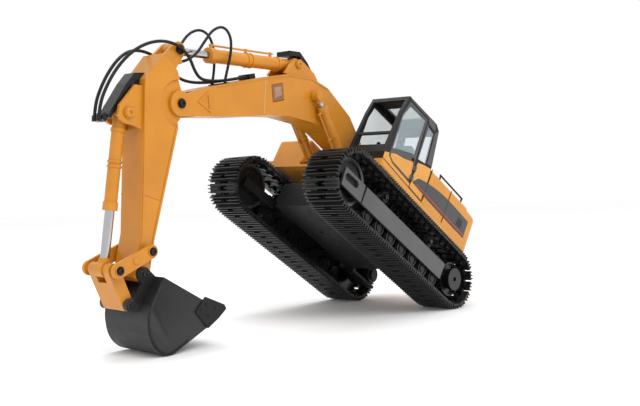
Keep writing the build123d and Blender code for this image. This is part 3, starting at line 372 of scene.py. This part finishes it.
LOOP_NEAR = [(0.2492, 0.0069, 0.0324), (0.2454, 0.0076, 0.0368), (0.2414, 0.0086, 0.0470),
             (0.2406, 0.0090, 0.0600), (0.2392, 0.0092, 0.0730), (0.2320, 0.0092, 0.0828),
             (0.2216, 0.0092, 0.0814), (0.2144, 0.0090, 0.0710), (0.2108, 0.0086, 0.0600),
             (0.2076, 0.0078, 0.0518), (0.2066, 0.0075, 0.0494)]
JUMPER_DIAMETER = 0.0026
LOOP_DIAMETER = 0.0022
# Where each kind of hose starts and ends its bend from riding on the boom to riding on the stick.
JUMPER_BEND = ((0.2150, 0.0, 0.0400), (0.2900, 0.0, -0.0050))
LOOP_BEND = ((0.2070, 0.0, 0.0494), (0.2470, 0.0, 0.0360))
# name: (route, length in metres, diameter in metres, ribbed, bend start, bend end)
HOSES = {
    "jumper_hose_far": (JUMPER_FAR, 0.1800, JUMPER_DIAMETER, True, *JUMPER_BEND),
    "jumper_hose_near": (JUMPER_NEAR, 0.1851, JUMPER_DIAMETER, True, *JUMPER_BEND),
    "loop_hose_far": (LOOP_FAR, 0.0928, LOOP_DIAMETER, False, *LOOP_BEND),
    "loop_hose_near": (LOOP_NEAR, 0.0994, LOOP_DIAMETER, False, *LOOP_BEND),
}
RIB_PITCH = 1.5 * MM
RIB_DEPTH = 0.08


def spline_line(name, route):
    """The route's NURBS line as points in the row frame, in metres."""
    data = bpy.data.curves.new(name + "_line", "CURVE")
    data.dimensions = "3D"
    data.resolution_u = 40
    spline = data.splines.new("NURBS")
    spline.points.add(len(route) - 1)
    for point, place in zip(spline.points, route):
        point.co = (*(HOUSE_METRES @ Vector(place)), 1)
    spline.order_u = 3
    spline.use_endpoint_u = True
    holder = bpy.data.objects.new(name + "_line", data)
    mesh = bpy.data.meshes.new_from_object(holder)
    line = [vertex.co.copy() for vertex in mesh.vertices]
    bpy.data.objects.remove(holder)
    bpy.data.curves.remove(data)
    bpy.data.meshes.remove(mesh)
    return line


def make_hose(name, route, length, diameter, ribbed, start, end):
    line = spline_line(name, route)
    radius = diameter / 2

    def ribs(distance):
        return radius * (1 - RIB_DEPTH + RIB_DEPTH * cos(2 * pi * distance / RIB_PITCH))

    points, faces = tube_rings(line, ribs if ribbed else lambda distance: radius)
    hose = add_mesh(name + "_tube", points, faces, RUBBER, None, Matrix.Identity(4), True)
    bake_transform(hose)
    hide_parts(name)


for hose_name, facts in HOSES.items():
    make_hose(hose_name, *facts)


# ---- screws and pin caps -------------------------------------------------------------------

def hex_boss(name, centre, y_seat, side, size, height, look, body):
    """Hexagonal boss under a screw head, with a chamfered face."""
    outline = [(centre[0] + size * cos(k * pi / 3), centre[1] + size * sin(k * pi / 3)) for k in range(6)]
    plate(name, outline, y_seat, y_seat + side * height, look, body, 0.5)


def bossed_bolt(name, centre, y_seat, radius, body, boss=ENAMEL, height=1.0):
    """Black screw head on a hexagonal boss, on both sides."""
    for side, word in ((1, "near"), (-1, "far")):
        hex_boss(name + "_boss_" + word, centre, side * y_seat, side, radius * 1.6, height, boss, body)
        bolt(name + "_" + word, centre, side * (y_seat + height), side, radius, body, socket=WHEEL)


bolt_pair("tip_pin_cap", TIP_PIN, BOOM_HALF + 1.0, 2.9, "boom", socket=WHEEL)
bolt_pair("stick_base_cap", STICK_CYL_BASE, 11.8, 3.0, "boom", head=ENAMEL, socket=ENAMEL,
          slot="orange_paint")
bolt_pair("stick_head_cap", STICK_CYL_HEAD, 9.8, 3.0, "stick", socket=WHEEL)
bolt_pair("trunnion_cap", BUCKET_CYL_BASE, 11.2, 3.3, "stick", head=ENAMEL, socket=ENAMEL,
          slot="orange_paint")
bossed_bolt("rocker_cap", ROCKER_PIN, ROCKER_FACE, 2.5, "rocker")
bossed_bolt("rod_end_cap", ROD_END, ROCKER_FACE, 2.5, "rocker")
bossed_bolt("bucket_pin_cap", BUCKET_PIN, 15.3, 2.4, "bucket", BUCKET)
bossed_bolt("link_pin_cap", LINK_PIN, 16.4, 2.2, "bucket_link", BUCKET, 0.7)
MIDDLE = tuple((a + b) / 2 for a, b in zip(ROCKER_PIN, ROD_END))
for side, word in ((1, "near"), (-1, "far")):
    hex_boss("rocker_middle_" + word, MIDDLE, side * ROCKER_FACE, side, 2.8, 0.9, ENAMEL, "rocker")


# ---- boom and stick trim -------------------------------------------------------------------

def strip(name, line, width, y_in, y_out, look, body):
    """Thin raised or inlaid strip of that width along a line of (x, z) points, on both sides."""
    shifted = []
    for k, here in enumerate(line):
        before, after = line[max(0, k - 1)], line[min(len(line) - 1, k + 1)]
        size = hypot(after[0] - before[0], after[1] - before[1])
        shifted.append((here[0] - (after[1] - before[1]) / size * width,
                        here[1] + (after[0] - before[0]) / size * width))
    outline = list(line) + shifted[::-1]
    for side, word in ((1, "near"), (-1, "far")):
        plate(name + "_" + word, outline, side * y_in, side * y_out, look, body, 0.08)


STICK_SIDE = 12.0
strip("stick_front_flange", [(270.0, -6.0), (245.4, -45.4), (213.4, -98.8), (208.6, -112.0)], -1.1,
      STICK_SIDE - 0.1, STICK_SIDE + 0.7, ENAMEL, "stick")
strip("stick_rear_flange", [(229.6, -12.0), (203.0, -94.8), (195.6, -112.0)], 1.1,
      STICK_SIDE - 0.1, STICK_SIDE + 0.7, ENAMEL, "stick")
strip("stick_seam", [(229.8, -73.6), (212.2, -68.4)], 0.35, STICK_SIDE - 0.1, STICK_SIDE + 0.12, LAMP_FRAME,
      "stick")
strip("boom_seam", [(174.4, 76.0), (160.2, 50.0)], 0.4, BOOM_HALF - 0.1, BOOM_HALF + 0.12, SEAM, "boom")
strip("boom_top_flange", [(106.0, 118.4), (128.0, 112.4), (153.0, 97.2), (180.2, 70.9), (214.0, 36.2)], -0.9,
      BOOM_HALF - 0.1, BOOM_HALF + 0.5, ENAMEL, "boom")

LAMP_GLASS = [(163.0, 75.1), (157.0, 68.0), (150.6, 74.4), (156.6, 81.6)]
for side, word in ((1, "near"), (-1, "far")):
    y_lamp = side * (BOOM_HALF + 0.5)
    plate("lamp_glass_" + word, LAMP_GLASS, y_lamp - side * 0.2, y_lamp + side * 1.5, LENS, "boom",
          2.6)

BUCKET_RIM = curve_through([(188.0, -126.0), (187.8, -136.0), (186.3, -145.3), (181.0, -154.2),
                            (171.3, -162.0), (162.0, -164.0), (156.6, -162.6), (152.3, -158.8),
                            (144.5, -146.5)])
strip("bucket_rim", BUCKET_RIM, 1.5, BUCKET_HALF - 0.1, BUCKET_HALF + 0.7, BUCKET, "bucket")


# ---- house and cab trim --------------------------------------------------------------------

SKIN = 0.35
SWOOSH_TOP = curve_through([(15.2, 76.8), (10.6, 82.4), (5.2, 86.4), (-20.0, 93.0), (-49.9, 96.9),
                            (-92.4, 98.6)])
SWOOSH_LOW = [(-92.4, 80.0), (-50.0, 78.0), (-12.0, 76.8)]
SILL_TOP = curve_through([(16.6, 97.0), (8.0, 100.6), (-4.8, 104.6)])
DOOR_LOW_TOP = curve_through([(56.6, 80.0), (50.8, 83.4), (36.0, 88.0), (24.4, 93.0)])

plate("side_swoosh", SWOOSH_TOP + SWOOSH_LOW, HOUSE_SIDE,
      HOUSE_SIDE + 1.6 * SKIN, DARK_GREY, "house")
plate("rim_band", [(62.0, 63.4), (62.0, 68.2), (-104.0, 68.2), (-104.0, 63.4)], HOUSE_SIDE,
      HOUSE_SIDE + SKIN, DECAL_ORANGE, "house")
plate("door_lower_panel", DOOR_LOW_TOP + [(21.2, 90.0), (20.0, 76.0), (51.0, 75.4), (56.4, 77.4)],
      HOUSE_SIDE, HOUSE_SIDE + SKIN, DECAL_ORANGE, "cab_door")
plate("sill_panel", SILL_TOP + [(-6.2, 100.0), (-6.2, 70.6), (16.6, 70.6)], HOUSE_SIDE, HOUSE_SIDE + SKIN,
      DECAL_ORANGE, "house")
plate("cab_front_sill", [(65.0, 69.9), (65.6, 75.8), (59.6, 78.8), (58.9, 76.2), (51.4, 73.2), (18.0, 73.2),
                         (18.0, 69.9)], HOUSE_SIDE, HOUSE_SIDE + SKIN, DECAL_ORANGE, "house",
      0.15)
plate("cab_rear_pillar", [(3.2, 105.0), (7.4, 136.6), (4.4, 141.6), (3.0, 141.4), (-4.4, 107.2)],
      HOUSE_SIDE, HOUSE_SIDE + SKIN, GREY, "house")
plate("cab_roof_edge", [(20.4, 138.4), (24.0, 142.2), (56.4, 139.2), (57.6, 140.6), (10.0, 145.2),
                        (8.2, 138.2)], HOUSE_SIDE, HOUSE_SIDE + SKIN, GREY, "house")
plate("cab_mid_pillar", [(19.4, 99.6), (22.6, 137.0), (20.6, 137.2), (18.4, 100.2)],
      HOUSE_SIDE, HOUSE_SIDE + SKIN, GREY, "house", 0.15)
plate("swoosh_line", [(8.0, 78.2), (8.0, 79.0), (-92.2, 82.4), (-92.2, 81.5)], HOUSE_SIDE + SKIN,
      HOUSE_SIDE + 1.9 * SKIN, RED, "house", 0.05)
for x_seam, z_low, z_high in ((-48.4, 71.5, 108.0), (-8.0, 71.5, 106.0)):
    plate("side_seam_%d" % -x_seam, [(x_seam, z_low), (x_seam, z_high), (x_seam - 0.35, z_high),
                                     (x_seam - 0.35, z_low)],
          HOUSE_SIDE, HOUSE_SIDE + 2 * SKIN, GLOSS_BLACK, "house", 0.03)
for index in range(5):
    x_vent = -74.0 - 2.0 * index
    plate("side_vent_%d" % (index + 1), [(x_vent, 84.0), (x_vent + 1.1, 84.0), (x_vent + 0.4, 93.0),
                                         (x_vent - 0.7, 93.0)],
          HOUSE_SIDE + SKIN, HOUSE_SIDE + 2.2 * SKIN, GLOSS_BLACK, "house", 0.1)

bolt("door_knob", (24.6, 95.0), HOUSE_SIDE, 1, 1.6, "cab_door", head=BLACK, socket=BLACK,
     slot="black_plastic")


# ---- floor, light and camera ---------------------------------------------------------------

def surroundings():
    bpy.ops.mesh.primitive_plane_add(size=14.0, location=(0, 0, 0))
    floor = bpy.context.object
    floor.name = "floor"
    floor.data.materials.append(finish_material("pale_floor", (0.985, 0.985, 0.985), 0.75, grain=60.0,
                                                bump=0.0, vary=0.004))
    world = bpy.context.scene.world or bpy.data.worlds.new("studio")
    bpy.context.scene.world = world
    world.use_nodes = True
    world.node_tree.nodes["Background"].inputs["Color"].default_value = (1.0, 1.0, 1.0, 1)
    world.node_tree.nodes["Background"].inputs["Strength"].default_value = 1.0


def softbox(name, place, target, size, power):
    data = bpy.data.lights.new(name, "AREA")
    data.size = size
    data.energy = power
    lamp = bpy.data.objects.new(name, data)
    lamp.location = place
    lamp.rotation_euler = (Vector(target) - Vector(place)).to_track_quat("-Z", "Y").to_euler()
    bpy.context.scene.collection.objects.link(lamp)


# The photo's viewpoint: where the camera stands, what it points at, its roll and its lens.
CAMERA_PLACE = Vector((0.5184, 0.5095, 0.1106))
CAMERA_TARGET = Vector((0.0402, 0.0692, 0.1064))
CAMERA_ROLL = radians(-1.746)
LENS = 45.44


def camera():
    data = bpy.data.cameras.new("camera")
    data.lens = LENS
    data.sensor_width = 36.0
    data.clip_start = 0.01
    made = bpy.data.objects.new("camera", data)
    made.location = CAMERA_PLACE
    aim = (CAMERA_TARGET - CAMERA_PLACE).to_track_quat("-Z", "Y").to_matrix()
    made.rotation_euler = (aim @ Matrix.Rotation(CAMERA_ROLL, 3, "Z")).to_euler()
    bpy.context.scene.collection.objects.link(made)
    bpy.context.scene.camera = made


surroundings()
softbox("key", (0.3, 1.2, 1.2), (0.0, 0.0, 0.1), 0.7, 9.0)
softbox("top", (-0.2, -0.3, 1.5), (0.0, 0.0, 0.1), 1.0, 8.0)
bpy.context.scene.view_settings.view_transform = "Standard"
camera()
